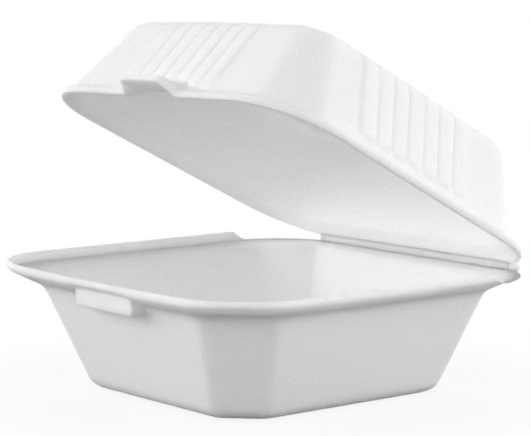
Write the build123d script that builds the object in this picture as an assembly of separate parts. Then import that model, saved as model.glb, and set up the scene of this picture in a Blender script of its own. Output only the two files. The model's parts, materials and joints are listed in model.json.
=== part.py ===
from build123d import *
import os
from math import atan2, cos, degrees, sqrt, tan
from typing import NamedTuple

# Hinged foam takeaway box, millimetres. Origin: middle of the tray's foot on the table.
# +Z up, the latch at -Y, the folded hinge along X at +Y. The lid stands partly open.

# Foam sheet
sheet = 2.4
floor_sheet = 2.6

# Tray walls: an octagon on the table that leans out on all sides
foot_width = 86.0
foot_depth = 92.2
foot_cut = 11.0
foot_round = 4.5
floor_round = 2.2
side_flare = 14.5
end_flare = 13.3
shoulder_cut = 16.4
shoulder_height = 34.2
tray_crease = 6.0
inner_crease = 3.0

# Tray rim: a ledge that carries the lid, inside a raised lip, with wider corners at the fold
rim_side = 9.0
rim_front = 8.1
rim_back = 7.2
rim_corner = 24.0
rim_back_corner = 25.0
rim_rise = 3.8
lip_height = 3.3
lip_land = 1.8
lip_round = 1.1
fence_height = 2.55
fence_run = 0.3
ledge_rise = 1.3

# Latch boss hanging from the tray's front lip
boss_width = 29.0
boss_height = 5.0
boss_setback = 3.0
boss_round = 1.5

# Lid: the same sheet, with a flange that nests in the rim, a high crown and fluted walls
lid_gap = 0.3
lid_side_gap = 0.35
lid_front_setback = 6.4
lid_lip_height = 2.6
lid_lip_land = 1.6
lid_lip_round = 0.9
lid_flange_rise = 0.5
lid_flange_side = 2.0
lid_flange_front = 3.6
lid_flange_back = 9.2
lid_dish_depth = 1.9
lid_corner = 26.0
lid_foot_cut = 14.0
lid_wall_rise = 30.1
lid_side_run = 15.0
lid_front_run = 10.4
lid_back_run = 8.4
crown_cut = 7.0
crown_round = 6.0
lid_crease = 6.5

# Latch notch through the lid's front flange
notch_width = 28.0
notch_rise = 0.6

# Flutes pressed into the middle of each lid wall
rib_count = 7
rib_pitch = 6.5
rib_width = 6.1
rib_proud = 0.9
rib_foot_margin = 4.0
rib_crown_margin = 6.0

# Fold: the raised lip ends at a step, and behind it the two edges meet on a bead
hinge_gap = 0.3
bead_radius = 1.8
bead_length = 98.0
step_from_corner = 2.0
step_run = 5.0
lid_open_angle = 27.0

# A 45 degree cut of this share of a radius touches the arc, which keeps nearly all its radius
round_cut_share = 2 - sqrt(2)
arc_share = 0.97
overrun = 5.0
place_tolerance = 0.01


class Section(NamedTuple):
    """A level outline: a rectangle about X = 0 whose corners are cut off at 45 degrees, then rounded."""

    side: float
    front: float
    back: float
    cut: float
    crease: float
    back_cut: float
    back_crease: float

    def at(self, height):
        """Return the outline as a face at this height."""
        right = [(self.side - self.cut, -self.front), (self.side, -self.front + self.cut),
                 (self.side, self.back - self.back_cut), (self.side - self.back_cut, self.back)]
        left = [(-x, y) for x, y in reversed(right)]
        face = Polygon(*right, *left, align=None)
        face = fillet(face.vertices().filter_by(lambda vertex: vertex.Y < 0), self.crease)
        face = fillet(face.vertices().group_by(Axis.Y)[-1] + face.vertices().group_by(Axis.Y)[-2], self.back_crease)
        return Pos(0, 0, height) * face

    def inset(self, wall, crease=None):
        """Return the outline moved inwards by a wall, with its own crease radius or the one that is left."""
        less = round_cut_share * wall
        return Section(self.side - wall, self.front - wall, self.back - wall, self.cut - less,
                       crease or self.crease - wall, self.back_cut - less, crease or self.back_crease - wall)


def octagon(side, front, back, cut, crease):
    """Return an outline with four equal cut corners."""
    return Section(side, front, back, cut, crease, cut, crease)


def rounded(side, front, back, radius, back_radius):
    """Return an outline with round corners, made of the same edges as the cut ones."""
    return Section(side, front, back, radius * round_cut_share, radius * arc_share,
                   back_radius * round_cut_share, back_radius * arc_share)


def between(low, high, share):
    """Return the outline at this share of the way from one outline to another."""
    return Section(*(a + (b - a) * share for a, b in zip(low, high)))


def level_edges(solid, height):
    """Return the edges that lie level at this height."""
    flat = solid.edges().filter_by(lambda edge: edge.bounding_box().size.Z < place_tolerance)
    return flat.filter_by(lambda edge: abs(edge.center().Z - height) < place_tolerance)


def prism_along_x(points, length):
    """Return the solid of a side-view outline, given as (y, z), carried along X about the middle."""
    return extrude(Plane.YZ * Polygon(*points, align=None), length / 2, both=True)


def rod_along_x(radius, length):
    """Return a round-ended rod on the fold line."""
    rod = Rot(0, 90, 0) * Cylinder(radius, length)
    return Pos(0, fold_y, fold_z) * fillet(rod.edges().filter_by(GeomType.CIRCLE), radius * arc_share)


# Tray outlines and heights
foot = octagon(foot_width / 2, foot_depth / 2, foot_depth / 2, foot_cut, tray_crease)
shoulder_side = foot_width / 2 + side_flare
shoulder_end = foot_depth / 2 + end_flare
shoulder = octagon(shoulder_side, shoulder_end, shoulder_end, shoulder_cut, tray_crease)
rim_half = shoulder_side + rim_side
rim_front_y = shoulder_end + rim_front
rim_back_y = shoulder_end + rim_back
rim = rounded(rim_half, rim_front_y, rim_back_y, rim_corner, rim_back_corner)
lip_foot = shoulder_height + rim_rise
rim_height = lip_foot + lip_height
ledge_height = rim_height - fence_height
throat_height = ledge_height - ledge_rise
ledge_end = rim.inset(lip_land + fence_run)
tray_wall = sheet / cos(atan2(side_flare, shoulder_height))

# The fold line and the step in front of it
fold_y = rim_back_y + hinge_gap / 2
fold_z = ledge_height + hinge_gap / 2
step_y = rim_back_y - rim_back_corner - step_from_corner

# Lid outlines and heights, as it lies closed on the tray
lid_seat = ledge_height + lid_gap
lid_half = ledge_end.side - lid_side_gap
lid_front_y = rim_front_y - lid_front_setback
lid_rim = rounded(lid_half, lid_front_y, rim_back_y, lid_corner, lid_corner)
lid_lip_top = lid_seat + lid_lip_height
lid_foot_z = lid_lip_top + lid_flange_rise
lid_top = lid_foot_z + lid_wall_rise
lid_foot = octagon(lid_half - lid_flange_side, lid_front_y - lid_flange_front, rim_back_y - lid_flange_back,
                   lid_foot_cut, lid_crease)
crown = octagon(lid_foot.side - lid_side_run, lid_foot.front - lid_front_run, lid_foot.back - lid_back_run,
                crown_cut, lid_crease)
lid_wall = sheet / cos(atan2(lid_side_run, lid_wall_rise))


def behind_step():
    """Return the space above the ledge behind the sloping step that ends the raised lip."""
    far = rim_back_y + overrun
    high = rim_height + overrun
    slope_end = step_y + step_run
    points = [(step_y, rim_height), (step_y, high), (far, high), (far, ledge_height), (slope_end, ledge_height)]
    return prism_along_x(points, 2 * rim_half + overrun)


def tray_cavity():
    """Return the space inside the tray, with the ledge under the lid and the raised lip round it."""
    low = between(foot, shoulder, floor_sheet / shoulder_height).inset(tray_wall, inner_crease)
    throat = between(foot, shoulder, throat_height / shoulder_height).inset(tray_wall, inner_crease)
    mouth = rim.inset(lip_land)
    sections = [low.at(floor_sheet), throat.at(throat_height), ledge_end.at(ledge_height), mouth.at(rim_height)]
    space = loft(sections, ruled=True)
    space = fillet(level_edges(space, floor_sheet), floor_round)
    return space + extrude(mouth.at(rim_height), overrun)


def latch_boss():
    """Return the block under the front lip that the closed lid is pressed over."""
    front = rim_front_y - boss_setback
    reach = front - shoulder_end + sheet / 2
    height = boss_height + boss_round
    block = Box(boss_width, reach, height)
    low_front = block.edges().filter_by(Axis.X).group_by(Axis.Y)[0].sort_by(Axis.Z)[0]
    uprights = block.edges().filter_by(Axis.Z).group_by(Axis.Y)[0]
    block = fillet([low_front, *uprights], boss_round)
    return Pos(0, reach / 2 - front, lip_foot + boss_round - height / 2) * block


def make_tray():
    """Return the tray: drafted walls, ledge, rolled lip, latch boss and the bead of the fold."""
    body = loft([foot.at(0), shoulder.at(shoulder_height), rim.at(lip_foot), rim.at(rim_height)], ruled=True)
    body = fillet(level_edges(body, 0), foot_round)
    body = fillet(level_edges(body, rim_height) + level_edges(body, lip_foot), lip_round)
    body += latch_boss()
    body -= tray_cavity()
    body -= behind_step()
    return body + rod_along_x(bead_radius, bead_length)


def lid_cavity():
    """Return the space inside the lid, flaring out under its flange."""
    throat_z = lid_seat + lid_dish_depth
    ceiling_z = lid_top - sheet
    mouth = lid_rim.inset(lid_lip_land)
    throat = between(lid_foot, crown, (throat_z - lid_foot_z) / lid_wall_rise).inset(lid_wall, inner_crease)
    ceiling = between(lid_foot, crown, (ceiling_z - lid_foot_z) / lid_wall_rise).inset(lid_wall, inner_crease)
    space = loft([mouth.at(lid_seat), throat.at(throat_z), ceiling.at(ceiling_z)], ruled=True)
    space = fillet(level_edges(space, ceiling_z), floor_round)
    return space + extrude(mouth.at(lid_seat), -overrun)


def flute(run, reach, turn):
    """Return one round-ended rib on a wall that faces -Y and leans in by this run, turned about Z."""
    lean = atan2(run, lid_wall_rise)
    radius = (rib_width ** 2 / 4 + rib_proud ** 2) / (2 * rib_proud)
    buried = radius - rib_proud
    length = (lid_wall_rise - rib_foot_margin - rib_crown_margin) / cos(lean)
    spine = Line((0, length + radius), (0, -radius))
    low_cap = RadiusArc((0, -radius), (radius, 0), -radius)
    side = Line((radius, 0), (radius, length))
    high_cap = RadiusArc((radius, length), (0, length + radius), -radius)
    capsule = revolve(Plane.XZ * make_face([spine, low_cap, side, high_cap]), Axis.Z)
    out = reach - rib_foot_margin * tan(lean)
    on_wall = Pos(0, -out, lid_foot_z + rib_foot_margin) * Rot(-degrees(lean), 0, 0) * Pos(0, buried, 0)
    return Rot(0, 0, turn) * on_wall * capsule


def lid_flutes():
    """Return the ribs of all four walls, a row in the middle of each."""
    front = flute(lid_front_run, lid_foot.front, 0)
    back = flute(lid_back_run, lid_foot.back, 180)
    right = flute(lid_side_run, lid_foot.side, 90)
    left = flute(lid_side_run, lid_foot.side, -90)
    middle = (lid_foot.back - lid_foot.front) / 2
    places = [(index - (rib_count - 1) / 2) * rib_pitch for index in range(rib_count)]
    rows = [Pos(place, 0, 0) * rib for place in places for rib in (front, back)]
    return rows + [Pos(0, middle + place, 0) * rib for place in places for rib in (left, right)]


def latch_notch():
    """Return the cut through the front flange, up to just above the foot of the front wall."""
    height = lid_foot_z + notch_rise - lid_seat + overrun
    depth = lid_flange_front + sheet + overrun
    block = Box(notch_width, depth, height, align=(Align.CENTER, Align.MIN, Align.MIN))
    return Pos(0, -lid_front_y - overrun, lid_seat - overrun) * block


def make_closed_lid():
    """Return the lid as it lies closed on the tray."""
    sections = [lid_rim.at(lid_seat), lid_rim.at(lid_lip_top), lid_foot.at(lid_foot_z), crown.at(lid_top)]
    body = loft(sections, ruled=True)
    body = fillet(level_edges(body, lid_top), crown_round)
    body = fillet(level_edges(body, lid_lip_top), lid_lip_round)
    body += lid_flutes()
    body -= lid_cavity()
    body -= latch_notch()
    return body - rod_along_x(bead_radius + hinge_gap, bead_length + 2 * hinge_gap)


def make_lid():
    """Return the lid swung open about the fold line."""
    return make_closed_lid().rotate(Axis((0, fold_y, fold_z), (-1, 0, 0)), lid_open_angle)


os.makedirs("parts", exist_ok=True)
export_step(make_tray(), "parts/tray.step")
export_step(make_lid(), "parts/lid.step")
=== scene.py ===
"""Foam clamshell container: a hinged takeaway box of pressed white foam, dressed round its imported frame."""
import json
import math
from typing import NamedTuple

import bpy
import numpy as np
from bpy.props import FloatProperty, FloatVectorProperty, IntProperty, PointerProperty
from bpy.types import Operator, Panel, PropertyGroup
from mathutils import Matrix, Vector


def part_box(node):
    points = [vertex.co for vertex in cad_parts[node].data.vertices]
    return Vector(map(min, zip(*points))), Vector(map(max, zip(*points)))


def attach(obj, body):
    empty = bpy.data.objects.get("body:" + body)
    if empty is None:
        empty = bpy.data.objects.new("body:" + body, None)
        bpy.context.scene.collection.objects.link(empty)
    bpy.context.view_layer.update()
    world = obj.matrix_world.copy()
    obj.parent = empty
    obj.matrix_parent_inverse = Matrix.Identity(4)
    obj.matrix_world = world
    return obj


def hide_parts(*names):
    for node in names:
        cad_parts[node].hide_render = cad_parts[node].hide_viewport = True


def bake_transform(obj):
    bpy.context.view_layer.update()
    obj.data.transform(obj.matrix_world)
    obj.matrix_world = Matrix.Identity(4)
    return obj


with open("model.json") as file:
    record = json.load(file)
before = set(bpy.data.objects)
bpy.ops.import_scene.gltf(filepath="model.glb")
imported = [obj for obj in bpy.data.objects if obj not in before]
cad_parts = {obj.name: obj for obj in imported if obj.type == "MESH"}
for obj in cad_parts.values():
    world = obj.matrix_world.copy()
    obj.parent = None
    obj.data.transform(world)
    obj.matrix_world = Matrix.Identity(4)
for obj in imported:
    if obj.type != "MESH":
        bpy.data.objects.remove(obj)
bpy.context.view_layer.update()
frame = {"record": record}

bl_info = {
    "name": "Foam Clamshell Container",
    "version": (1, 0, 0),
    "blender": (4, 5, 0),
    "location": "View3D > Sidebar > Foam Box",
    "description": "Builds a hinged foam takeaway box with its foam finish, studio and camera",
    "category": "Add Mesh",
}

MILLIMETRE = 0.001
TRAY_LOW, TRAY_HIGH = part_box("tray")
HINGE = frame["record"]["behaviour"]["joints"][0]
FOLD_Y, FOLD_Z = HINGE["pos_m"][1:]
OPEN_DEGREES = -HINGE["range_deg"][0]
PHOTO_WIDTH = 531

# The eight sides of every outline run anticlockwise from the front one, each turned 45 degrees from the last.
SIDE_COUNT = 8
FRONT, BACK = 0, 4
TURN = math.radians(45)
HEADINGS = np.arange(SIDE_COUNT) * TURN
ALONG = np.stack([np.cos(HEADINGS), np.sin(HEADINGS)], axis=1)
INWARD = np.stack([-np.sin(HEADINGS), np.cos(HEADINGS)], axis=1)
TANGENT_SHARE = math.tan(TURN / 2)
ROUND_CUT_SHARE = 2 - math.sqrt(2)
ARC_SHARE = 0.97
CORE_SHARE = 0.75
POLE_SHARE = 0.3
WEB_SHARE = 0.42
ARC_STEPS = 8
SHORTEST_RUN = 1e-6

# Columns and rows of the meshes.
CUT_COLUMNS = 9
PLAIN_COLUMNS = 48
BOSS_END_COLUMNS = 7
BOSS_FACE_COLUMNS = 15
BOSS_SIDE_COLUMNS = 14
RIB_COLUMNS = 17
LID_END_COLUMNS = 10
BEAD_ROWS = 91
BEAD_CAP_ROWS = 9
BEAD_COLUMNS = 32
WEB_ROWS = 61
WEB_STEPS = 13
FLOOR_COLUMNS = 96

# Shares that shape the tray's rim: its underside, the end of the raised lip, and where it sags.
UNDERSIDE_SHARES = (0.25, 0.6)
STEP_SHARE = 0.97
SAG_FOOT_SHARE = 0.8
FRONT_SAG_SHARES = (-0.7, -0.95)
SIDE_SAG_SHARES = (0.75, 0.95)

# Numbers of the foam's finish, and how the pressed fold differs from it.
NOISE_MEAN = 0.5
GRAIN_DETAIL = 3.0
CELL_SMOOTH_SHARE = 0.35
GRAIN_SCALE_SHARE = 0.8
# Painted glint: the bright specks are highlights painted into the foam's colour, where single cells catch the
# light.
PAINTED_GLINT_SHARES = (0.86, 0.98)
PAINTED_GLINT_CENTRE_SHARES = (0.1, 0.55)
MOTTLE_NOISES = ((55.0, 2.0), (320.0, 4.0))
DOME_SHARES = (0.6, 1.6)
ROUGHNESS_SPREAD_SHARE = 0.1
SPECULAR_SHARE = 0.35
PRESSED_RELIEF_SHARE = 0.5
PRESSED_SMOOTHING = 0.08
WHITE = (1.0, 1.0, 1.0, 1.0)

# The studio: places and sizes in metres, and where the light changes by height and by direction.
LIGHT_AIM = (0.0, 0.0, 0.05)
TOP_SOFTBOX_PLACE = (0.1, 0.4, 0.95)
TOP_SOFTBOX_SIZE = 0.9
LEFT_SOFTBOX_PLACE = (-0.5, -0.75, 0.42)
LEFT_SOFTBOX_SIZE = 0.5
FLOOR_RADIUS = 4.0
FLOOR_DROP = 0.0002
FLOOR_SHADOW_REACH = (0.06, 0.13)
FLOOR_WHITE_SHARES = (0.86, 1.0)
TENT_HEIGHT_SHARES = (0.35, 0.75)
OPENING_SHARES = (0.55, 0.95)
BEHIND_SHARES = (-0.8, -0.1)


def length(label, millimetres, words):
    """Return a length property whose default is given in millimetres."""
    return FloatProperty(name=label, description=words, default=millimetres * MILLIMETRE,
                         subtype="DISTANCE", unit="LENGTH", precision=5)


def share(label, value, words):
    """Return a property for a plain share or strength."""
    return FloatProperty(name=label, description=words, default=value, min=0.0, precision=3)


def angle(label, degrees, words):
    """Return an angle property whose default is given in degrees."""
    return FloatProperty(name=label, description=words, default=math.radians(degrees),
                         subtype="ANGLE", unit="ROTATION")


class TraySizes(PropertyGroup):
    """Sizes of the tray."""

    sheet: length("Sheet", 2.4, "Thickness of the foam walls")
    floor_sheet: length("Floor sheet", 2.6, "Thickness of the tray's floor")
    foot_width: length("Foot width", 86.0, "Width of the octagon on the table")
    foot_depth: length("Foot depth", 92.2, "Depth of the octagon on the table")
    foot_cut: length("Foot cut", 11.0, "Cut corner of the foot, along each side")
    foot_round: length("Foot round", 4.5, "Rounding between foot and walls")
    floor_round: length("Floor round", 3.4, "Rounding between floor and inner walls")
    side_flare: length("Side flare", 14.5, "How far each side wall leans out")
    end_flare: length("End flare", 13.3, "How far the front and back walls lean out")
    shoulder_cut: length("Shoulder cut", 16.4, "Cut corner at the top of the walls")
    shoulder_height: length("Shoulder height", 34.2, "Height at which the walls turn out into the rim")
    shoulder_round: length("Shoulder round", 2.4, "Rounding under the rim")
    crease: length("Crease", 6.0, "Rounding between walls and cut corners, outside")
    inner_crease: length("Inner crease", 3.0, "Rounding between walls and cut corners, inside")
    fold_gap: length("Fold gap", 0.15, "How far the back edge stays in front of the fold line")
    rim_corner: length("Rim corner", 24.0, "Radius of the rim's front corners")
    rim_back_corner: length("Rim back corner", 28.0, "Radius of the rim's corners at the fold")
    lip_height: length("Lip height", 2.5, "Height of the rolled lip")
    lip_land: length("Lip land", 1.8, "Width of the lip's top")
    lip_round: length("Lip round", 1.3, "Rounding of the lip's edges")
    fence_height: length("Fence height", 3.4, "How far the lip stands above the ledge")
    fence_run: length("Fence run", 0.3, "How far the lip's inner face leans")
    ledge_rise: length("Ledge rise", 1.0, "Rise of the ledge from the inner wall to the lip")
    ledge_round: length("Ledge round", 1.6, "Rounding between inner wall and ledge")
    lip_foot_round: length("Lip foot round", 0.7, "Rounding between ledge and lip")
    underside_round: length("Underside round", 0.2, "Rounding where the underside leaves the lip")
    step_from_corner: length("Step from corner", 0.0, "How far before the back corner the raised lip ends")
    step_run: length("Step run", 5.0, "Length of the slope that ends the raised lip")
    sag: length("Sag", 0.8, "How far the rim sags in the middle of the front and of the right side")
    boss_width: length("Boss width", 30.2, "Width of the latch boss")
    boss_height: length("Boss height", 7.4, "How far the latch boss hangs under the lip")
    boss_setback: length("Boss setback", 3.0, "How far the boss stands behind the lip")
    boss_round: length("Boss round", 1.3, "Rounding of the boss's lower edge")
    boss_step: length("Boss step", 0.1, "Width of the step at each end of the boss")
    boss_end: length("Boss end", 1.5, "Rounding of the boss's ends")


class LidSizes(PropertyGroup):
    """Sizes of the lid as it lies closed on the tray."""

    gap: length("Seat gap", 0.15, "Height of the closed lid's edge above the fold line")
    twist: angle("Twist", 0.65, "How far the soft lid is twisted, up on the right and down on the left")
    side_gap: length("Side gap", 0.35, "Gap between the lid's edge and the raised lip")
    front_setback: length("Front setback", 6.4, "How far the lid's front edge stays behind the tray's")
    lip_height: length("Lip height", 2.6, "Height of the lid's edge")
    lip_land: length("Lip land", 1.6, "Width of the lid's edge underneath")
    lip_round: length("Lip round", 1.1, "Rounding of the lid's edge")
    flange_rise: length("Flange rise", 0.5, "Rise of the flange towards the wall")
    flange_side: length("Side flange", 2.0, "Width of the flange at the sides")
    flange_front: length("Front flange", 3.6, "Width of the flange at the front")
    flange_back: length("Back flange", 9.2, "Width of the flange at the fold")
    flange_round: length("Flange round", 2.2, "Rounding between flange and walls")
    dish_depth: length("Dish depth", 1.9, "Height of the flare inside the lid's edge")
    land_round: length("Land round", 0.4, "Rounding of the edge towards the flare")
    dish_round: length("Dish round", 1.2, "Rounding between the flare and the inner walls")
    corner: length("Corner", 26.0, "Radius of the lid's corners")
    foot_cut: length("Foot cut", 14.0, "Cut corner at the foot of the walls")
    wall_rise: length("Wall rise", 30.6, "Height of the walls")
    side_run: length("Side run", 15.0, "How far the side walls lean in")
    front_run: length("Front run", 11.2, "How far the front wall leans in")
    back_run: length("Back run", 8.4, "How far the back wall leans in")
    crown_cut: length("Crown cut", 7.0, "Cut corner of the crown")
    crown_round: length("Crown round", 6.5, "Rounding between walls and crown")
    crown_dome: length("Crown dome", 0.6, "How far the crown swells in the middle")
    ceiling_round: length("Ceiling round", 3.4, "Rounding between ceiling and inner walls")
    crease: length("Crease", 6.5, "Rounding between walls and cut corners, outside")
    inner_crease: length("Inner crease", 8.5, "Rounding between walls and cut corners, inside")
    tab_root: length("Tab root", 27.0, "Width of the latch tab where it leaves the front edge")
    tab_tip: length("Tab tip", 17.0, "Width of the latch tab at its tip")
    tab_reach: length("Tab reach", 6.0, "How far the latch tab stands out in front of the edge")
    tab_lift: length("Tab lift", 2.2, "How far the latch tab is raised, to lie on the tray's lip")
    rib_count: IntProperty(name="Ribs", description="Ribs in the middle of each wall", default=7, min=1)
    rib_pitch: length("Rib pitch", 6.5, "Distance between ribs on the front and back")
    rib_side_pitch: length("Side rib pitch", 7.2, "Distance between ribs on the sides")
    rib_side_shift: length("Side rib shift", 2.2, "How far the side ribs stand in front of the middle")
    rib_flatness: share("Rib flatness", 5.0, "Power that gives a rib its flat top and the groove its width")
    rib_proud: length("Rib height", 0.8, "How far a rib stands out")
    rib_foot: length("Rib foot", 2.4, "Where the ribs start above the foot of the wall")
    rib_head: length("Rib head", 0.4, "Where the ribs end below the crown")
    rib_fade: length("Rib fade", 3.0, "Length of a rib's rounded end")


class FoldSizes(PropertyGroup):
    """Sizes of the fold between tray and lid."""

    radius: length("Radius", 1.8, "Radius of the folded bead")
    width: length("Width", 98.0, "Length of the bead along the back edge")
    ear: length("Ear", 0.6, "How much thicker the bead is at its ends")
    ear_run: length("Ear run", 16.0, "Length over which the bead grows thicker")
    web: length("Web", 3.2, "How far the soft web reaches on to the tray and on to the lid")


class FoamFinish(PropertyGroup):
    """Look of the foam."""

    colour: FloatVectorProperty(name="Colour", description="Colour of the foam's skin", subtype="COLOR",
                                size=3, min=0.0, max=1.0, default=(0.955, 0.955, 0.95))
    roughness: share("Roughness", 0.58, "Roughness of the skin between its cells")
    cell: length("Cell size", 0.75, "Size of the foam cells that show through the skin")
    relief: length("Cell relief", 0.05, "Height of the cells in the skin")
    # Painted glint: how much the painted highlight specks lighten the colour.
    painted_glint: share("Speck strength", 0.06, "How much lighter the bright specks are")
    grain: share("Grain strength", 0.25, "How much the tone changes from cell to cell")
    glow: share("Translucency", 1.0, "How much of the light goes through the foam before it comes out")
    glow_depth: length("Translucency depth", 4.0, "How far light travels inside the foam")
    mottle: share("Mottle", 0.025, "How much the tone drifts over the sheet")


class StudioSettings(PropertyGroup):
    """Light, floor and camera."""

    floor_colour: FloatVectorProperty(name="Floor", description="Colour of the floor", subtype="COLOR",
                                      size=3, min=0.0, max=1.0, default=(0.9, 0.9, 0.9))
    floor_bounce: FloatVectorProperty(name="Floor bounce", description="Colour of the light from the floor",
                                      subtype="COLOR", size=3, min=0.0, max=1.0, default=(0.22, 0.22, 0.22))
    ambient: share("Ambient", 2.95, "Strength of the light from all round, near the horizon")
    zenith: share("Zenith", 0.15, "Strength of the light from straight above")
    opening: angle("Tent opening", 52.0, "Direction of the light tent's opening, where less light comes from")
    opening_dim: share("Opening light", 0.3, "Share of the light that comes from the tent's opening")
    behind_dim: share("Light from behind", 0.62, "Share of the light that comes from behind the box")
    top_light: share("Top light", 0.2, "Power of the overhead softbox in watts")
    left_light: share("Left light", 0.35, "Power of the softbox in front on the left in watts")
    azimuth: angle("Azimuth", 50.53, "Direction of the camera round the box")
    elevation: angle("Elevation", 6.96, "Height of the camera above the horizon")
    roll: angle("Roll", 0.15, "Turn of the camera about its own axis")
    distance: length("Distance", 713.7, "Distance from the camera to the point it looks at")
    aim_height: length("Aim height", 55.4, "Height of the point that the camera looks at")
    focal_pixels: FloatProperty(name="Focal length", description="Focal length in pixels of the picture",
                                default=2200.0)


class FoamBoxSettings(PropertyGroup):
    """All settings of the foam box."""

    tray: PointerProperty(type=TraySizes)
    lid: PointerProperty(type=LidSizes)
    fold: PointerProperty(type=FoldSizes)
    foam: PointerProperty(type=FoamFinish)
    studio: PointerProperty(type=StudioSettings)


class Station(NamedTuple):
    """One level outline of a shell: a rectangle about X = 0 with cut and rounded corners, at a height."""

    side: float
    front: float
    back: float
    cut: float
    crease: float
    back_cut: float
    back_crease: float
    height: float

    def inset(self, wall, height, crease=None):
        """Return the outline moved inwards by a wall, at another height."""
        less = ROUND_CUT_SHARE * wall
        return Station(self.side - wall, self.front - wall, self.back - wall, self.cut - less,
                       crease or self.crease - wall, self.back_cut - less,
                       crease or self.back_crease - wall, height)

    def towards(self, other, height):
        """Return the outline at a height on the straight wall from this outline to another."""
        part = (height - self.height) / (other.height - self.height)
        return Station(*(a + (b - a) * part for a, b in zip(self, other)))

    def shrunk(self, part, height):
        """Return the outline scaled about its middle."""
        middle = (self.back - self.front) / 2
        half = (self.back + self.front) / 2 * part
        return Station(self.side * part, half - middle, half + middle, self.cut * part, self.crease * part,
                       self.back_cut * part, self.back_crease * part, height)


SIDE = Station._fields.index("side")
HEIGHT = Station._fields.index("height")


def octagon(side, front, back, cut, crease, height):
    """Return an outline with four equal cut corners."""
    return Station(side, front, back, cut, crease, cut, crease, height)


def rounded(side, front, back, radius, back_radius, height):
    """Return an outline with round corners, made of the same sides and arcs as the cut ones."""
    return Station(side, front, back, radius * ROUND_CUT_SHARE, radius * ARC_SHARE,
                   back_radius * ROUND_CUT_SHARE, back_radius * ARC_SHARE, height)


class Bend(NamedTuple):
    """A station of a profile, how far its corner is softened, and the rows that it takes."""

    station: Station
    trim: float
    steps: int
    run: int


def profile(bends):
    """Carry a path through stations, with soft corners.

    Each corner C is replaced by the quadratic curve (1-t)^2 A + 2t(1-t) C + t^2 B, where A and B lie the
    trim length away on the two runs, at most half-way. A run is divided evenly into its number of rows.
    """
    points = np.array([bend.station for bend in bends])
    steps = np.diff(points, axis=0)
    spans = np.maximum(np.linalg.norm(steps[:, [SIDE, HEIGHT]], axis=1), SHORTEST_RUN)
    rows = [points[:1]]
    for index in range(1, len(bends) - 1):
        corner = points[index]
        before = corner - steps[index - 1] * min(bends[index].trim / spans[index - 1], 0.5)
        after = corner + steps[index] * min(bends[index].trim / spans[index], 0.5)
        run = np.linspace(0, 1, bends[index - 1].run + 1)[1:-1, None]
        rows.append(rows[-1][-1] + (before - rows[-1][-1]) * run)
        t = np.linspace(0, 1, bends[index].steps)[:, None]
        rows.append((1 - t) ** 2 * before + 2 * t * (1 - t) * corner + t ** 2 * after)
    run = np.linspace(0, 1, bends[-2].run + 1)[1:, None]
    rows.append(rows[-1][-1] + (points[-1] - rows[-1][-1]) * run)
    return np.concatenate(rows)


class Columns(NamedTuple):
    """Where a shell's columns stand on each side: places from -2 to 2, and the half width of the core."""

    places: list
    core: float

    def sides(self):
        """Return each column's side, with -1 on the corner arcs, and its place."""
        arc = np.full(ARC_STEPS - 1, -1)
        side = [np.concatenate([np.full(len(p), k), arc]) for k, p in enumerate(self.places)]
        place = [np.concatenate([p, np.zeros(ARC_STEPS - 1)]) for p in self.places]
        return np.concatenate(side), np.concatenate(place)


def outline_points(rows, columns):
    """Return the X and Y of all rows and columns of a shell.

    On side k the point is M + d * s, with M the middle of the straight part, d its direction, and s made
    of the place p: p times the core for |p| up to 1, and from there evenly on to the end of the straight.
    On the arc that follows it is E + r (d sin a + n (1 - cos a)), with a from 0 to 45 degrees.
    """
    side, front, back, cut, crease, back_cut, back_crease = rows[:, :HEIGHT].T
    low = cut - front
    high = back - back_cut
    x = np.stack([cut - side, side - cut, side, side, side - back_cut, back_cut - side, -side, -side], axis=1)
    y = np.stack([-front, -front, low, high, back, back, high, low], axis=1)
    radius = np.stack([crease] * 3 + [back_crease] * 4 + [crease], axis=1)[:, :, None]
    corner = np.stack([x, y], axis=2)
    start = corner + ALONG * radius * TANGENT_SHARE
    end = np.roll(corner, -1, axis=1) - ALONG * np.roll(radius, -1, axis=1) * TANGENT_SHARE
    half = ((end - start) * ALONG).sum(axis=2) / 2
    core = np.minimum(columns.core, CORE_SHARE * half)
    turn = np.linspace(0, TURN, ARC_STEPS + 1)[1:-1, None]
    parts = []
    for k, places in enumerate(columns.places):
        inner = np.clip(places, -1, 1) * core[:, k, None]
        outer = np.sign(places) * np.maximum(np.abs(places) - 1, 0) * (half - core)[:, k, None]
        middle = (start + end)[:, k, None] / 2
        parts.append(middle + (inner + outer)[:, :, None] * ALONG[k])
        bend = ALONG[k] * np.sin(turn) + INWARD[k] * (1 - np.cos(turn))
        parts.append(end[:, k, None] + np.roll(radius, -1, axis=1)[:, k, None] * bend)
    return np.concatenate(parts, axis=1)


def shell_points(rows, columns):
    """Return the X, Y and Z of all rows and columns of a shell."""
    plan = outline_points(rows, columns)
    height = np.broadcast_to(rows[:, HEIGHT, None, None], plan.shape[:2] + (1,))
    return np.concatenate([plan, height], axis=2)


def smooth_step(low, high, value):
    """Rise smoothly from 0 at low to 1 at high, as 3t^2 - 2t^3."""
    t = np.clip((value - low) / (high - low), 0, 1)
    return t * t * (3 - 2 * t)


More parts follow.
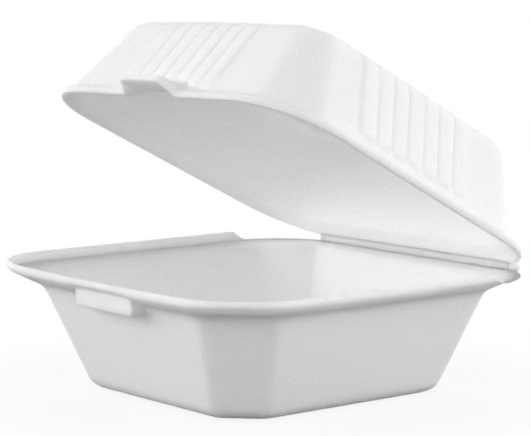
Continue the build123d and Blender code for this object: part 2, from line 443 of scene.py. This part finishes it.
def closed_mesh(name, points, sharp_degrees=48):
    """Make a mesh of rows and columns that closes round its columns and ends in a pole at both ends."""
    rows, count = points.shape[:2]
    poles = np.stack([points[0].mean(axis=0), points[-1].mean(axis=0)])
    vertices = np.concatenate([points.reshape(-1, 3), poles])
    index = np.arange(rows * count).reshape(rows, count)
    after = np.roll(index, -1, axis=1)
    quads = np.stack([index[:-1], index[1:], after[1:], after[:-1]], axis=2).reshape(-1, 4)
    first = np.stack([np.full(count, rows * count), index[0], after[0]], axis=1)
    last = np.stack([index[-1], np.full(count, rows * count + 1), after[-1]], axis=1)
    mesh = bpy.data.meshes.new(name)
    mesh.from_pydata(vertices.tolist(), [], quads.tolist() + first.tolist() + last.tolist())
    mesh.polygons.foreach_set("use_smooth", np.ones(len(mesh.polygons), dtype=bool))
    mesh.set_sharp_from_angle(angle=math.radians(sharp_degrees))
    mesh.update()
    piece = bpy.data.objects.new(name, mesh)
    bpy.context.collection.objects.link(piece)
    return piece


def new_group(name, inputs, outputs):
    """Return an empty shader node group with float or vector sockets, and its two end nodes."""
    group = bpy.data.node_groups.new(name, "ShaderNodeTree")
    for label, kind in inputs:
        group.interface.new_socket(name=label, in_out="INPUT", socket_type=kind)
    for label, kind in outputs:
        group.interface.new_socket(name=label, in_out="OUTPUT", socket_type=kind)
    return group, group.nodes.new("NodeGroupInput"), group.nodes.new("NodeGroupOutput")


def maths(tree, operation, first, second):
    """Add a maths node whose two inputs are sockets or numbers, and return its output."""
    node = tree.nodes.new("ShaderNodeMath")
    node.operation = operation
    for socket, value in zip(node.inputs, (first, second)):
        if isinstance(value, (int, float)):
            socket.default_value = value
        else:
            tree.links.new(value, socket)
    return node.outputs[0]


def map_range(tree, value, low, high, to_low, to_high):
    """Add a map range node with fixed ends and return its output."""
    node = tree.nodes.new("ShaderNodeMapRange")
    node.interpolation_type = "SMOOTHSTEP"
    tree.links.new(value, node.inputs["Value"])
    node.inputs["From Min"].default_value = low
    node.inputs["From Max"].default_value = high
    node.inputs["To Min"].default_value = to_low
    node.inputs["To Max"].default_value = to_high
    return node.outputs["Result"]


def foam_cells_group():
    """Foam Cells: rounded cells pressed flat under the skin, with sparse bright specks of painted glint.

    Height is the dome of each cell plus a finer grain. Speck is a mask of painted glints, where single cells
    catch the light, and Grain is the finer grain about zero.
    """
    if "Foam Cells" in bpy.data.node_groups:
        return bpy.data.node_groups["Foam Cells"]
    inputs = [("Vector", "NodeSocketVector"), ("Density", "NodeSocketFloat")]
    outputs = [(label, "NodeSocketFloat") for label in ("Height", "Speck", "Grain")]
    group, start, end = new_group("Foam Cells", inputs, outputs)
    cells = group.nodes.new("ShaderNodeTexVoronoi")
    cells.feature = "SMOOTH_F1"
    cells.inputs["Smoothness"].default_value = CELL_SMOOTH_SHARE
    grain = group.nodes.new("ShaderNodeTexNoise")
    grain.inputs["Detail"].default_value = GRAIN_DETAIL
    for node in (cells, grain):
        group.links.new(start.outputs["Vector"], node.inputs["Vector"])
    group.links.new(start.outputs["Density"], cells.inputs["Scale"])
    scale = maths(group, "MULTIPLY", start.outputs["Density"], GRAIN_SCALE_SHARE)
    group.links.new(scale, grain.inputs["Scale"])
    dome = maths(group, "SUBTRACT", 1.0, cells.outputs["Distance"])
    group.links.new(maths(group, "ADD", dome, grain.outputs["Fac"]), end.inputs["Height"])
    group.links.new(maths(group, "SUBTRACT", grain.outputs["Fac"], NOISE_MEAN), end.inputs["Grain"])
    lucky = group.nodes.new("ShaderNodeSeparateColor")
    group.links.new(cells.outputs["Color"], lucky.inputs["Color"])
    # Painted glint: a mask of bright specks on single cells, painted into the colour as highlights.
    bright = map_range(group, lucky.outputs["Red"], *PAINTED_GLINT_SHARES, 0.0, 1.0)
    centre = map_range(group, cells.outputs["Distance"], *PAINTED_GLINT_CENTRE_SHARES, 1.0, 0.0)
    group.links.new(maths(group, "MULTIPLY", bright, centre), end.inputs["Speck"])
    return group


def sheet_mottle_group():
    """Sheet Mottle: slow drifts of tone over the pressed sheet, from two sizes of noise, about zero."""
    if "Sheet Mottle" in bpy.data.node_groups:
        return bpy.data.node_groups["Sheet Mottle"]
    group, start, end = new_group("Sheet Mottle", [("Vector", "NodeSocketVector")],
                                  [("Drift", "NodeSocketFloat")])
    parts = []
    for scale, detail in MOTTLE_NOISES:
        noise = group.nodes.new("ShaderNodeTexNoise")
        noise.inputs["Scale"].default_value = scale
        noise.inputs["Detail"].default_value = detail
        group.links.new(start.outputs["Vector"], noise.inputs["Vector"])
        parts.append(noise.outputs["Fac"])
    total = maths(group, "ADD", *parts)
    group.links.new(maths(group, "SUBTRACT", total, len(parts) * NOISE_MEAN), end.inputs["Drift"])
    return group


def foam_material(name, foam, relief_share=1.0, smoothing=0.0):
    """Return a foam skin: tone from mottle and painted glint specks, roughness and bump from the cells.

    relief_share scales the cell relief and smoothing lowers the roughness, where the foam is pressed harder.
    """
    material = bpy.data.materials.new(name)
    material.use_nodes = True
    tree = material.node_tree
    shader = tree.nodes["Principled BSDF"]
    place = tree.nodes.new("ShaderNodeTexCoord")
    cells = tree.nodes.new("ShaderNodeGroup")
    cells.node_tree = foam_cells_group()
    cells.inputs["Density"].default_value = 1.0 / foam.cell
    mottle = tree.nodes.new("ShaderNodeGroup")
    mottle.node_tree = sheet_mottle_group()
    for node in (cells, mottle):
        tree.links.new(place.outputs["Object"], node.inputs["Vector"])
    drift = maths(tree, "MULTIPLY", mottle.outputs["Drift"], foam.mottle)
    # Painted glint: the specks lighten the base colour as painted highlights.
    painted_glint_tone = maths(tree, "MULTIPLY", cells.outputs["Speck"], foam.painted_glint)
    grain = maths(tree, "MULTIPLY", cells.outputs["Grain"], foam.grain)
    tone = maths(tree, "ADD", maths(tree, "ADD", 1.0, grain), maths(tree, "ADD", drift, painted_glint_tone))
    tint = tree.nodes.new("ShaderNodeVectorMath")
    tint.operation = "SCALE"
    tint.inputs[0].default_value = foam.colour
    tree.links.new(tone, tint.inputs["Scale"])
    tree.links.new(tint.outputs["Vector"], shader.inputs["Base Color"])
    level = foam.roughness - smoothing
    rough = map_range(tree, cells.outputs["Height"], *DOME_SHARES,
                      level + ROUGHNESS_SPREAD_SHARE, level - ROUGHNESS_SPREAD_SHARE)
    tree.links.new(rough, shader.inputs["Roughness"])
    bump = tree.nodes.new("ShaderNodeBump")
    bump.inputs["Strength"].default_value = 1.0
    bump.inputs["Distance"].default_value = foam.relief * relief_share
    tree.links.new(cells.outputs["Height"], bump.inputs["Height"])
    tree.links.new(bump.outputs["Normal"], shader.inputs["Normal"])
    shader.inputs["Specular IOR Level"].default_value = SPECULAR_SHARE
    shader.inputs["Subsurface Weight"].default_value = foam.glow
    shader.inputs["Subsurface Radius"].default_value = (1.0, 1.0, 1.0)
    shader.inputs["Subsurface Scale"].default_value = foam.glow_depth
    return material


def finish_piece(piece, material, body, node=None):
    """Give a piece its material and its body, and let it stand for its CAD node where it has one."""
    piece.data.materials.append(material)
    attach(piece, body)
    if node:
        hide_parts(node)


class TrayForm:
    """Stations of the tray, worked out from its sizes and the frame."""

    def __init__(self, size):
        """Place the outlines from the foot up to the lip."""
        self.size = size
        side = size.foot_width / 2
        end = size.foot_depth / 2
        self.foot = octagon(side, end, end, size.foot_cut, size.crease, 0)
        self.shoulder = octagon(side + size.side_flare, end + size.end_flare, end + size.end_flare,
                                size.shoulder_cut, size.crease, size.shoulder_height)
        self.top = TRAY_HIGH.z
        self.rim = rounded(TRAY_HIGH.x, -TRAY_LOW.y, FOLD_Y - size.fold_gap, size.rim_corner,
                           size.rim_back_corner, self.top)
        self.ledge = self.top - size.fence_height
        self.lip_foot = self.top - size.lip_height
        self.ledge_end = self.rim.inset(size.lip_land + size.fence_run, self.ledge)
        self.wall = size.sheet / math.cos(math.atan2(size.side_flare, size.shoulder_height))

    def inner(self, height):
        """Return the inner wall's outline at a height."""
        return self.foot.towards(self.shoulder, height).inset(self.wall, height, self.size.inner_crease)

    def bends(self, boss):
        """Return the profile from the floor over the lip to the underside, with or without the boss."""
        size = self.size
        floor = self.inner(size.floor_sheet)
        lip = self.rim._replace(height=self.lip_foot)
        if boss:
            low = self.lip_foot - size.boss_height
            face = lip._replace(front=lip.front - size.boss_setback)
            under = [Bend(face, size.underside_round, steps=3, run=1),
                     Bend(face._replace(height=low), size.boss_round, steps=6, run=4),
                     Bend(self.foot.towards(self.shoulder, low), size.boss_round / 2, steps=5, run=8)]
        else:
            flare = [lip.towards(self.shoulder, lip.height + (self.shoulder.height - lip.height) * part)
                     for part in UNDERSIDE_SHARES]
            under = [Bend(flare[0], size.underside_round, steps=3, run=1),
                     Bend(flare[1], size.boss_round, steps=6, run=4),
                     Bend(self.shoulder, size.shoulder_round, steps=5, run=8)]
        return [
            Bend(floor.shrunk(POLE_SHARE, size.floor_sheet), 0, steps=1, run=4),
            Bend(floor, size.floor_round, steps=8, run=10),
            Bend(self.inner(self.ledge - size.ledge_rise), size.ledge_round, steps=6, run=5),
            Bend(self.ledge_end, size.lip_foot_round, steps=5, run=2),
            Bend(self.rim.inset(size.lip_land, self.top), size.lip_round, steps=6, run=1),
            Bend(self.rim, size.lip_round, steps=7, run=1),
            Bend(lip, size.lip_round, steps=7, run=1),
            *under,
            Bend(self.foot, size.foot_round, steps=9, run=4),
            Bend(self.foot.shrunk(POLE_SHARE, 0), 0, steps=1, run=1),
        ]


class FOAMBOX_OT_tray(Operator):
    """Build the tray: floor, flared walls, ledge, rolled lip and latch boss, as one closed shell."""

    bl_idname = "foambox.tray"
    bl_label = "Tray"

    def execute(self, context):
        """Blend the plain profile into the boss profile along the front, end the lip, and sag it.

        The sag is 1 - (x/s)^2 along the front and 1 - (y/f)^2 along the right side, with s and f the half
        width and the front of the shoulder.
        """
        settings = context.scene.foam_box
        size = settings.tray
        form = TrayForm(size)
        half = size.boss_width / 2
        core = half + 2 * size.boss_end
        near = np.linspace(half - size.boss_end, half + size.boss_step, BOSS_END_COLUMNS) / core
        front = np.concatenate([-near[::-1], np.linspace(-near[0], near[0], BOSS_FACE_COLUMNS)[1:-1], near])
        outer = np.linspace(1, 2, BOSS_SIDE_COLUMNS)
        front = np.concatenate([-outer[::-1], front, outer])
        plain = np.linspace(-2, 2, PLAIN_COLUMNS)
        cut = np.linspace(-2, 2, CUT_COLUMNS)
        columns = Columns([front, cut, plain, cut, plain, cut, plain, cut], core)
        side, place = columns.sides()
        across = np.abs(place) * core
        end = np.clip((across - half + size.boss_end) / size.boss_end, 0, 1)
        boss = np.where((side == FRONT) & (across < half), np.sqrt(1 - end ** 2), 0)[None, :, None]
        points = shell_points(profile(form.bends(False)), columns)
        points = points + (shell_points(profile(form.bends(True)), columns) - points) * boss
        x, y, z = np.moveaxis(points, 2, 0)
        step = form.rim.back - size.rim_back_corner - size.step_from_corner
        fence = 1 - STEP_SHARE * smooth_step(step, step + size.step_run, y)
        z = np.where(z > form.ledge, form.ledge + (z - form.ledge) * fence, z)
        low = smooth_step(size.shoulder_height * SAG_FOOT_SHARE, form.ledge, z)
        front_sag = np.maximum(1 - (x / form.shoulder.side) ** 2, 0)
        side_sag = np.maximum(1 - (y / form.shoulder.front) ** 2, 0)
        reach = front_sag * smooth_step(*FRONT_SAG_SHARES, y / form.rim.front)
        reach = reach + side_sag * smooth_step(*SIDE_SAG_SHARES, x / form.rim.side)
        z = z - size.sag * low * reach
        tray = closed_mesh("tray_shell", np.stack([x, y, z], axis=2))
        finish_piece(tray, foam_material("foam_tray", settings.foam), "tray", "tray")
        return {"FINISHED"}


class LidForm:
    """Stations of the closed lid, worked out from its sizes and the tray's."""

    def __init__(self, size, tray):
        """Place the outlines from the edge up to the crown."""
        self.size = size
        form = TrayForm(tray)
        self.sheet = tray.sheet
        self.seat = FOLD_Z + size.gap
        half = form.ledge_end.side - size.side_gap
        front = form.rim.front - size.front_setback
        self.rim = rounded(half, front, form.rim.back, size.corner, size.corner, self.seat)
        self.lip_top = self.seat + size.lip_height
        self.foot_z = self.lip_top + size.flange_rise
        self.foot = octagon(half - size.flange_side, front - size.flange_front,
                            form.rim.back - size.flange_back, size.foot_cut, size.crease, self.foot_z)
        self.crown_z = self.foot_z + size.wall_rise
        self.crown = octagon(self.foot.side - size.side_run, self.foot.front - size.front_run,
                             self.foot.back - size.back_run, size.crown_cut, size.crease, self.crown_z)
        self.wall = self.sheet / math.cos(math.atan2(size.side_run, size.wall_rise))

    def inner(self, height):
        """Return the inner wall's outline at a height."""
        return self.foot.towards(self.crown, height).inset(self.wall, height, self.size.inner_crease)

    def bends(self, lift, reach):
        """Return the profile from the crown's middle over the edge to the ceiling's middle.

        The flange and the edge are raised by a lift and drawn out to the front by a reach, for the latch tab.
        """
        size = self.size
        ceiling = self.inner(self.crown_z - self.sheet)
        edge = self.rim._replace(front=self.rim.front + reach)
        land = self.rim.inset(size.lip_land, self.seat + lift)
        return [
            Bend(self.crown.shrunk(POLE_SHARE, self.crown_z + size.crown_dome), 0, steps=1, run=6),
            Bend(self.crown, size.crown_round, steps=14, run=46),
            Bend(self.foot.towards(self.crown, self.foot_z + lift), size.flange_round, steps=6, run=1),
            Bend(edge._replace(height=self.lip_top + lift), size.lip_round, steps=6, run=2),
            Bend(edge._replace(height=self.seat + lift), size.lip_round / 2, steps=6, run=1),
            Bend(land, size.land_round, steps=4, run=1),
            Bend(self.inner(self.seat + lift + size.dish_depth), size.dish_round, steps=5, run=14),
            Bend(ceiling, size.ceiling_round, steps=8, run=5),
            Bend(ceiling.shrunk(POLE_SHARE, ceiling.height), 0, steps=1, run=1),
        ]


class FOAMBOX_OT_lid(Operator):
    """Build the lid: crown, fluted walls, flange with the latch tab, as one closed shell, swung open."""

    bl_idname = "foambox.lid"
    bl_label = "Lid"

    def execute(self, context):
        """Raise the ribs on the walls, draw out the tab at the front, and turn the lid about the fold.

        A rib stands out by h (1 - |2s/p|^n) across its pitch p, and its ends fall off as a quarter circle.
        Each point turns by the open angle plus the twist times its share of the half width.
        """
        settings = context.scene.foam_box
        size = settings.lid
        form = LidForm(size, settings.tray)
        core = size.rib_count * size.rib_side_pitch / 2 + size.rib_side_shift
        outer = np.linspace(1, 2, LID_END_COLUMNS)
        ribbed = np.linspace(-1, 1, size.rib_count * RIB_COLUMNS + 1)
        wall = np.concatenate([-outer[:0:-1], ribbed, outer[1:]])
        cut = np.linspace(-2, 2, CUT_COLUMNS)
        columns = Columns([wall, cut] * 4, core)
        side, place = columns.sides()
        along = place * core
        tab = (side == FRONT) * (1 - smooth_step(size.tab_tip / 2, size.tab_root / 2, np.abs(along)))
        rows = profile(form.bends(0.0, 0.0))
        points = shell_points(rows, columns)
        drawn = shell_points(profile(form.bends(size.tab_lift, size.tab_reach)), columns)
        points = points + (drawn - points) * tab[None, :, None]
        outside = np.arange(len(rows)) < np.argmax(rows[:, SIDE])
        height = points[:, :, 2] - form.foot_z - size.tab_lift * tab
        ends = np.minimum(height - size.rib_foot, size.wall_rise - size.rib_head - height)
        rise = np.sqrt(1 - (1 - np.clip(ends / size.rib_fade, 0, 1)) ** 2) * outside[:, None]
        ends_wall = (side == FRONT) | (side == BACK)
        pitch = np.where(ends_wall, size.rib_pitch, size.rib_side_pitch)
        along = along + np.where(ends_wall, 0, size.rib_side_shift * np.sign(BACK - side))
        local = 2 * np.abs(along / pitch - np.round(along / pitch))
        on_wall = (side >= 0) & (side % 2 == 0) & (np.abs(along) < size.rib_count * pitch / 2)
        push = size.rib_proud * rise * (1 - local ** size.rib_flatness) * on_wall
        points[:, :, :2] -= push[:, :, None] * INWARD[np.maximum(side, 0)]
        x, y, z = np.moveaxis(points, 2, 0) - np.array([0, FOLD_Y, FOLD_Z])[:, None, None]
        turn = math.radians(OPEN_DEGREES) + size.twist * x / form.rim.side
        opened = np.stack([x, FOLD_Y + y * np.cos(turn) + z * np.sin(turn),
                           FOLD_Z - y * np.sin(turn) + z * np.cos(turn)], axis=2)
        lid = closed_mesh("lid_shell", opened)
        finish_piece(lid, foam_material("foam_lid", settings.foam), "lid", "lid")
        return {"FINISHED"}


class FOAMBOX_OT_fold(Operator):
    """Build the fold: the rounded bead of creased foam along the back edge, and the web inside it."""

    bl_idname = "foambox.fold"
    bl_label = "Fold"

    def execute(self, context):
        """Add the bead, which stays with the tray, and the web between tray and lid."""
        settings = context.scene.foam_box
        material = foam_material("foam_fold", settings.foam, PRESSED_RELIEF_SHARE, PRESSED_SMOOTHING)
        finish_piece(self.add_bead(settings.fold), material, "tray")
        self.add_web(settings, material)
        return {"FINISHED"}

    def add_bead(self, size):
        """Carry a circle along the fold line, thicker towards its ends, which close in quarter circles."""
        half = size.width / 2
        thick = size.radius + size.ear
        turn = np.linspace(0, math.pi / 2, BEAD_CAP_ROWS)[1:-1]
        cap = half - thick + thick * np.sin(turn)
        x = np.concatenate([-cap[::-1], np.linspace(-1, 1, BEAD_ROWS) * (half - thick), cap])
        radius = size.radius + size.ear * smooth_step(half - thick - size.ear_run, half - thick, np.abs(x))
        reach = np.maximum(np.abs(x) - half + thick, 0)
        radius = np.sqrt(np.maximum(radius ** 2 - reach ** 2, 0))
        around = np.linspace(0, 2 * math.pi, BEAD_COLUMNS + 1)[:-1]
        y = FOLD_Y + radius[:, None] * np.cos(around)
        z = FOLD_Z + radius[:, None] * np.sin(around)
        return closed_mesh("fold_bead", np.stack([np.broadcast_to(x[:, None], y.shape), y, z], axis=2))

    def add_web(self, settings, material):
        """Fill the corner between the tray's ledge and the open lid with a soft strip.

        Its face is the quadratic curve from a point A on the ledge to a point B under the lid. Measured from
        the fold line, the curve's middle point is A + B times WEB_SHARE. The back runs through the fold line.
        """
        form = TrayForm(settings.tray)
        open_turn = math.radians(OPEN_DEGREES)
        web = settings.fold.web
        ledge = np.array([-web, form.ledge - FOLD_Z])
        under = np.array([-math.cos(open_turn), math.sin(open_turn)]) * web
        middle = (ledge + under) * WEB_SHARE
        t = np.linspace(0, 1, WEB_STEPS)[:, None]
        face = (1 - t) ** 2 * ledge + 2 * t * (1 - t) * middle + t ** 2 * under
        back = np.concatenate([under * (1 - t[1:-1]), ledge * t[1:]])
        loop = np.concatenate([face, back[:-1]])[::-1]
        half = settings.fold.width / 2 - settings.fold.radius - settings.fold.ear
        x = np.linspace(-half, half, WEB_ROWS)
        y = np.broadcast_to(FOLD_Y + loop[:, 0], (len(x), len(loop)))
        z = np.broadcast_to(FOLD_Z + loop[:, 1], y.shape)
        strip = closed_mesh("fold_web", np.stack([np.broadcast_to(x[:, None], y.shape), y, z], axis=2))
        strip.data.materials.append(material)
        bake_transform(strip)


def softbox(name, watts, size, place, aim):
    """Add a square area lamp that faces a point."""
    lamp = bpy.data.lights.new(name, "AREA")
    lamp.energy = watts
    lamp.size = size
    holder = bpy.data.objects.new(name, lamp)
    holder.location = place
    holder.rotation_euler = (Vector(aim) - Vector(place)).to_track_quat("-Z", "Y").to_euler()
    bpy.context.collection.objects.link(holder)


def white_to_camera(tree):
    """Return a socket that is 1 for camera, glossy and transmission rays and 0 for the rest."""
    path = tree.nodes.new("ShaderNodeLightPath")
    shiny = maths(tree, "MAXIMUM", path.outputs["Is Glossy Ray"], path.outputs["Is Transmission Ray"])
    return maths(tree, "MAXIMUM", path.outputs["Is Camera Ray"], shiny)


def mix_shaders(tree, part, first, second):
    """Add a node that mixes two shaders by the socket part, and return it."""
    mix = tree.nodes.new("ShaderNodeMixShader")
    for source, socket in zip((part, first.outputs[0], second.outputs[0]), mix.inputs):
        tree.links.new(source, socket)
    return mix


class FOAMBOX_OT_stage(Operator):
    """Set the stage: a white floor that keeps a faint shadow, light as in a tent, and the camera."""

    bl_idname = "foambox.stage"
    bl_label = "Stage"

    def execute(self, context):
        """Add floor, world, lamps and camera."""
        studio = context.scene.foam_box.studio
        self.add_floor(studio)
        self.light_world(context.scene, studio)
        softbox("top_softbox", studio.top_light, TOP_SOFTBOX_SIZE, TOP_SOFTBOX_PLACE, LIGHT_AIM)
        softbox("left_softbox", studio.left_light, LEFT_SOFTBOX_SIZE, LEFT_SOFTBOX_PLACE, LIGHT_AIM)
        self.place_camera(context.scene, studio)
        context.scene.view_settings.view_transform = "Standard"
        return {"FINISHED"}

    def add_floor(self, studio):
        """Lay a disc whose white shows fully away from the box and keeps a faint shadow beside it."""
        turn = np.linspace(0, 2 * math.pi, FLOOR_COLUMNS + 1)[:-1]
        ring = np.stack([np.cos(turn), np.sin(turn), np.zeros_like(turn)], axis=1) * FLOOR_RADIUS
        mesh = bpy.data.meshes.new("floor")
        mesh.from_pydata(ring.tolist(), [], [list(range(len(ring)))])
        floor = bpy.data.objects.new("floor", mesh)
        floor.location.z = -FLOOR_DROP
        bpy.context.collection.objects.link(floor)
        material = bpy.data.materials.new("floor_white")
        material.use_nodes = True
        tree = material.node_tree
        tree.nodes.remove(tree.nodes["Principled BSDF"])
        seen, bounce = (tree.nodes.new("ShaderNodeBsdfDiffuse") for _ in range(2))
        seen.inputs["Color"].default_value = (*studio.floor_colour, 1.0)
        bounce.inputs["Color"].default_value = (*studio.floor_bounce, 1.0)
        glow = tree.nodes.new("ShaderNodeEmission")
        glow.inputs["Color"].default_value = WHITE
        place = tree.nodes.new("ShaderNodeTexCoord")
        far = tree.nodes.new("ShaderNodeVectorMath")
        far.operation = "LENGTH"
        tree.links.new(place.outputs["Object"], far.inputs[0])
        white = map_range(tree, far.outputs["Value"], *FLOOR_SHADOW_REACH, *FLOOR_WHITE_SHARES)
        surface = mix_shaders(tree, white, seen, glow)
        surface = mix_shaders(tree, white_to_camera(tree), bounce, surface)
        tree.links.new(surface.outputs[0], tree.nodes["Material Output"].inputs["Surface"])
        mesh.materials.append(material)

    def light_world(self, scene, studio):
        """Light from all round, less from above, behind and the tent's opening, and show a white backdrop."""
        world = bpy.data.worlds.new("studio")
        world.use_nodes = True
        tree = world.node_tree
        soft = tree.nodes["Background"]
        soft.inputs["Color"].default_value = WHITE
        place = tree.nodes.new("ShaderNodeTexCoord")
        height = tree.nodes.new("ShaderNodeSeparateXYZ")
        tree.links.new(place.outputs["Generated"], height.inputs[0])
        level = map_range(tree, height.outputs["Z"], *TENT_HEIGHT_SHARES, studio.ambient, studio.zenith)
        facing = tree.nodes.new("ShaderNodeVectorMath")
        facing.operation = "DOT_PRODUCT"
        facing.inputs[1].default_value = (math.sin(studio.opening), -math.cos(studio.opening), 0.0)
        tree.links.new(place.outputs["Generated"], facing.inputs[0])
        dim = map_range(tree, facing.outputs["Value"], *OPENING_SHARES, 1.0, studio.opening_dim)
        behind = map_range(tree, facing.outputs["Value"], *BEHIND_SHARES, studio.behind_dim, 1.0)
        level = maths(tree, "MULTIPLY", level, maths(tree, "MULTIPLY", dim, behind))
        tree.links.new(level, soft.inputs["Strength"])
        white = tree.nodes.new("ShaderNodeBackground")
        white.inputs["Color"].default_value = WHITE
        white.inputs["Strength"].default_value = 1.0
        backdrop = mix_shaders(tree, white_to_camera(tree), soft, white)
        tree.links.new(backdrop.outputs[0], tree.nodes["World Output"].inputs["Surface"])
        scene.world = world

    def place_camera(self, scene, studio):
        """Stand the camera at its distance, looking at the aim point, with its roll."""
        flat = math.cos(studio.elevation)
        back = Vector((math.sin(studio.azimuth) * flat, -math.cos(studio.azimuth) * flat,
                       math.sin(studio.elevation)))
        right = Vector((0, 0, 1)).cross(back).normalized()
        up = back.cross(right)
        turn = Matrix((right, up, back)).transposed().to_4x4() @ Matrix.Rotation(studio.roll, 4, "Z")
        lens = bpy.data.cameras.new("camera")
        lens.sensor_fit = "HORIZONTAL"
        lens.lens = studio.focal_pixels / PHOTO_WIDTH * lens.sensor_width
        camera = bpy.data.objects.new("camera", lens)
        eye = Vector((0, 0, studio.aim_height)) + back * studio.distance
        camera.matrix_world = Matrix.Translation(eye) @ turn
        bpy.context.collection.objects.link(camera)
        scene.camera = camera


class FOAMBOX_PT_panel(Panel):
    """Lists the pieces of the foam box."""

    bl_idname = "FOAMBOX_PT_panel"
    bl_label = "Foam Box"
    bl_space_type = "VIEW_3D"
    bl_region_type = "UI"
    bl_category = "Foam Box"

    def draw(self, context):
        """Draw a button for each piece and the sizes that go with it."""
        settings = context.scene.foam_box
        groups = ((FOAMBOX_OT_tray, settings.tray), (FOAMBOX_OT_lid, settings.lid),
                  (FOAMBOX_OT_fold, settings.fold), (FOAMBOX_OT_stage, settings.studio))
        for operator, group in groups:
            box = self.layout.box()
            box.operator(operator.bl_idname)
            for name in group.__annotations__:
                box.prop(group, name)
        for name in settings.foam.__annotations__:
            self.layout.prop(settings.foam, name)


CLASSES = (TraySizes, LidSizes, FoldSizes, FoamFinish, StudioSettings, FoamBoxSettings, FOAMBOX_OT_tray,
           FOAMBOX_OT_lid, FOAMBOX_OT_fold, FOAMBOX_OT_stage, FOAMBOX_PT_panel)


def register():
    """Register the classes and hang the settings on the scene."""
    for item in CLASSES:
        bpy.utils.register_class(item)
    bpy.types.Scene.foam_box = PointerProperty(type=FoamBoxSettings)


def unregister():
    """Take the settings and the classes away again."""
    del bpy.types.Scene.foam_box
    for item in reversed(CLASSES):
        bpy.utils.unregister_class(item)


def main():
    """Build all pieces and the stage."""
    register()
    bpy.ops.foambox.tray()
    bpy.ops.foambox.lid()
    bpy.ops.foambox.fold()
    bpy.ops.foambox.stage()


if __name__ == "__main__":
    main()
